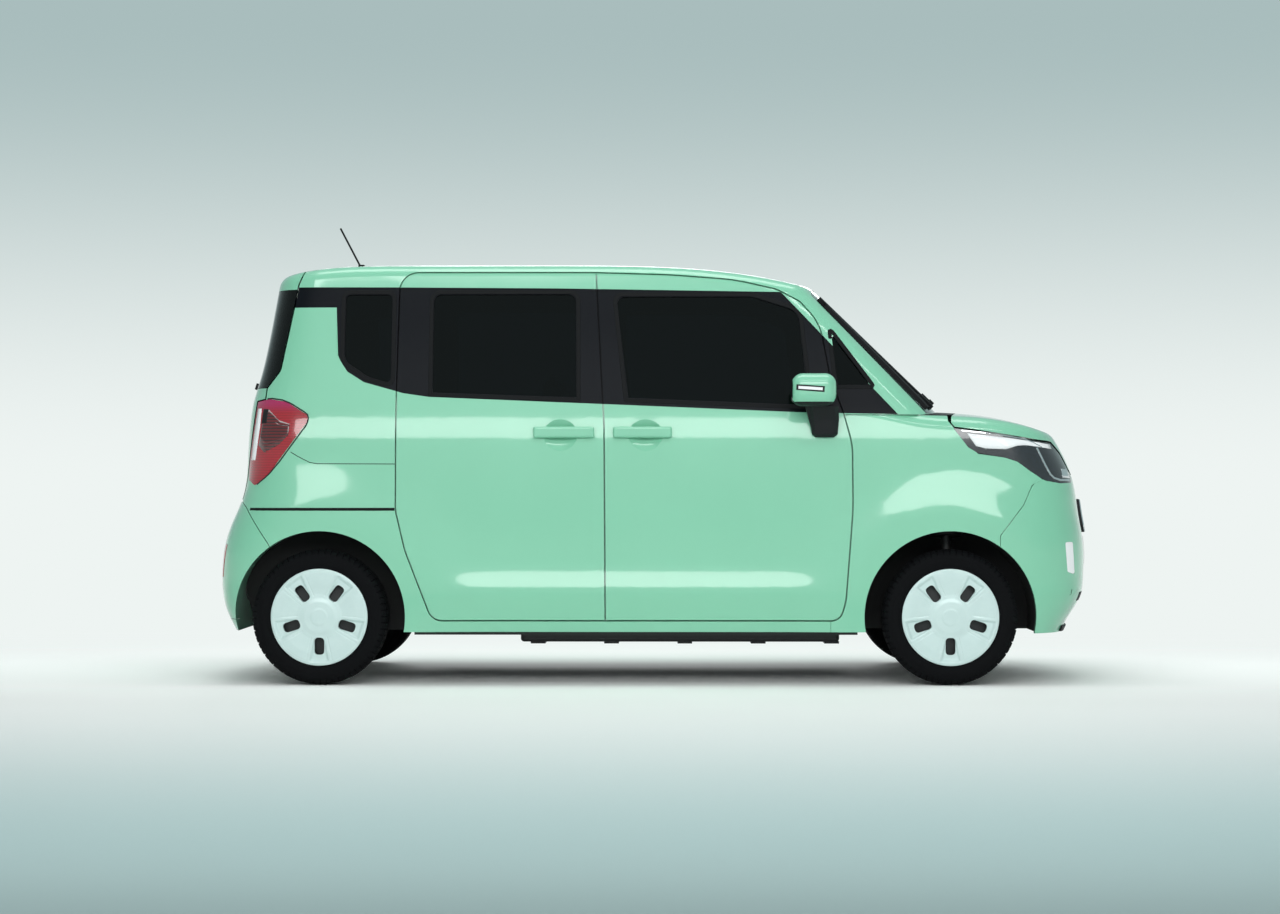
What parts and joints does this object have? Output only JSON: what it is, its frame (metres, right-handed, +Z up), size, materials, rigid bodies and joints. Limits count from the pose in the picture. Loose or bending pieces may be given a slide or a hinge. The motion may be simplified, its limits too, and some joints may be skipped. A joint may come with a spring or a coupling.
{
  "type": "electric city car",
  "caption": "Small box-shaped electric city car with side doors, a sliding rear door, a lifting tailgate, a bonnet, steered front wheels and rolling wheels.",
  "frame": {"origin": "on the floor under the centre of the car's bounding box", "axes": "+X forward, +Y to the car's left, +Z up"},
  "size_m": [3.5959, 1.97, 1.8978],
  "materials": {
    "body_paint": "mint green gloss",
    "tinted_glass": "dark tint",
    "red_lens": "clear gloss",
    "clear_lens": "clear gloss",
    "black_plastic": "matte",
    "cabin_plastic": "grained",
    "black_steel": "black coating",
    "battery_case": "cast",
    "cast_metal": "bare",
    "tyre_rubber": "matte",
    "rim_steel": "satin black",
    "cover_plastic": "satin pale",
    "seat_fabric": "woven"
  },
  "bodies": {
    "body": {"body_side_right": "body_paint", "body_side_left": "body_paint", "roof_panel": "body_paint", "sliding_door": "body_paint", "rear_bumper": "body_paint", "rear_panel": "body_paint", "fenders": "body_paint", "front_bumper": "body_paint", "grille_panel": "black_plastic", "cowl": "black_plastic", "windscreen": "tinted_glass", "fixed_windows": "tinted_glass", "tail_lamps": "red_lens", "headlamps": "clear_lens", "corner_lamps": "clear_lens", "floor_pan": "black_steel", "arch_liners": "black_plastic", "battery_pack": "battery_case", "motor_block": "cast_metal", "front_subframe": "black_steel", "strut_towers": "black_steel", "rear_axle": "black_steel", "dashboard": "cabin_plastic", "steering_wheel": "cabin_plastic", "front_seats": "seat_fabric", "rear_bench": "seat_fabric", "antenna": "black_plastic"},
    "bonnet": {"bonnet": "body_paint"},
    "tailgate": {"tailgate": "body_paint", "tailgate_glass": "tinted_glass"},
    "door_front_right": {"door_front_right": "body_paint", "glass_front_right": "tinted_glass", "mirror_right": "body_paint"},
    "door_front_left": {"door_front_left": "body_paint", "glass_front_left": "tinted_glass", "mirror_left": "body_paint"},
    "door_rear_left": {"door_rear_left": "body_paint", "glass_rear_left": "tinted_glass"},
    "knuckle_right": {"knuckle_right": "cast_metal"},
    "knuckle_left": {"knuckle_left": "cast_metal"},
    "wheel_front_right": {"tyre_front_right": "tyre_rubber", "rim_front_right": "rim_steel", "cover_front_right": "cover_plastic"},
    "wheel_front_left": {"tyre_front_left": "tyre_rubber", "rim_front_left": "rim_steel", "cover_front_left": "cover_plastic"},
    "wheel_rear_right": {"tyre_rear_right": "tyre_rubber", "rim_rear_right": "rim_steel", "cover_rear_right": "cover_plastic"},
    "wheel_rear_left": {"tyre_rear_left": "tyre_rubber", "rim_rear_left": "rim_steel", "cover_rear_left": "cover_plastic"}
  },
  "joints": [
    {"name": "bonnet_hinge", "type": "hinge", "parent": "body", "child": "bonnet", "pos_m": [1.184, 0, 1.112], "axis": [0, -1, 0], "range_deg": [0, 50]},
    {"name": "tailgate_hinge", "type": "hinge", "parent": "body", "child": "tailgate", "pos_m": [-1.403, 0, 1.704], "axis": [0, 1, 0], "range_deg": [0, 85]},
    {"name": "front_right_door_hinge", "type": "hinge", "parent": "body", "child": "door_front_right", "pos_m": [0.8, -0.797, 0.7], "axis": [0, 0, 1], "range_deg": [0, 65]},
    {"name": "front_left_door_hinge", "type": "hinge", "parent": "body", "child": "door_front_left", "pos_m": [0.8, 0.797, 0.7], "axis": [0, 0, -1], "range_deg": [0, 65]},
    {"name": "rear_left_door_hinge", "type": "hinge", "parent": "body", "child": "door_rear_left", "pos_m": [-0.189, 0.797, 0.7], "axis": [0, 0, -1], "range_deg": [0, 65]},
    {"name": "steer_left", "type": "hinge", "parent": "body", "child": "knuckle_left", "pos_m": [1.188, 0.655, 0.19], "axis": [0, -0.1687, 0.9857], "range_deg": [-35, 35]},
    {"name": "steer_right", "type": "hinge", "parent": "body", "child": "knuckle_right", "pos_m": [1.188, -0.655, 0.19], "axis": [0, 0.1687, 0.9857], "range_deg": [-35, 35]},
    {"name": "spin_front_right", "type": "hinge", "parent": "knuckle_right", "child": "wheel_front_right", "pos_m": [1.188, -0.705, 0.272], "axis": [0, 1, 0], "continuous": true},
    {"name": "spin_front_left", "type": "hinge", "parent": "knuckle_left", "child": "wheel_front_left", "pos_m": [1.188, 0.705, 0.272], "axis": [0, 1, 0], "continuous": true},
    {"name": "spin_rear_right", "type": "hinge", "parent": "body", "child": "wheel_rear_right", "pos_m": [-1.332, -0.705, 0.272], "axis": [0, 1, 0], "continuous": true},
    {"name": "spin_rear_left", "type": "hinge", "parent": "body", "child": "wheel_rear_left", "pos_m": [-1.332, 0.705, 0.272], "axis": [0, 1, 0], "continuous": true}
  ],
  "couplings": [
    {"joint": "steer_right", "follows": "steer_left", "ratio": 1}
  ]
}
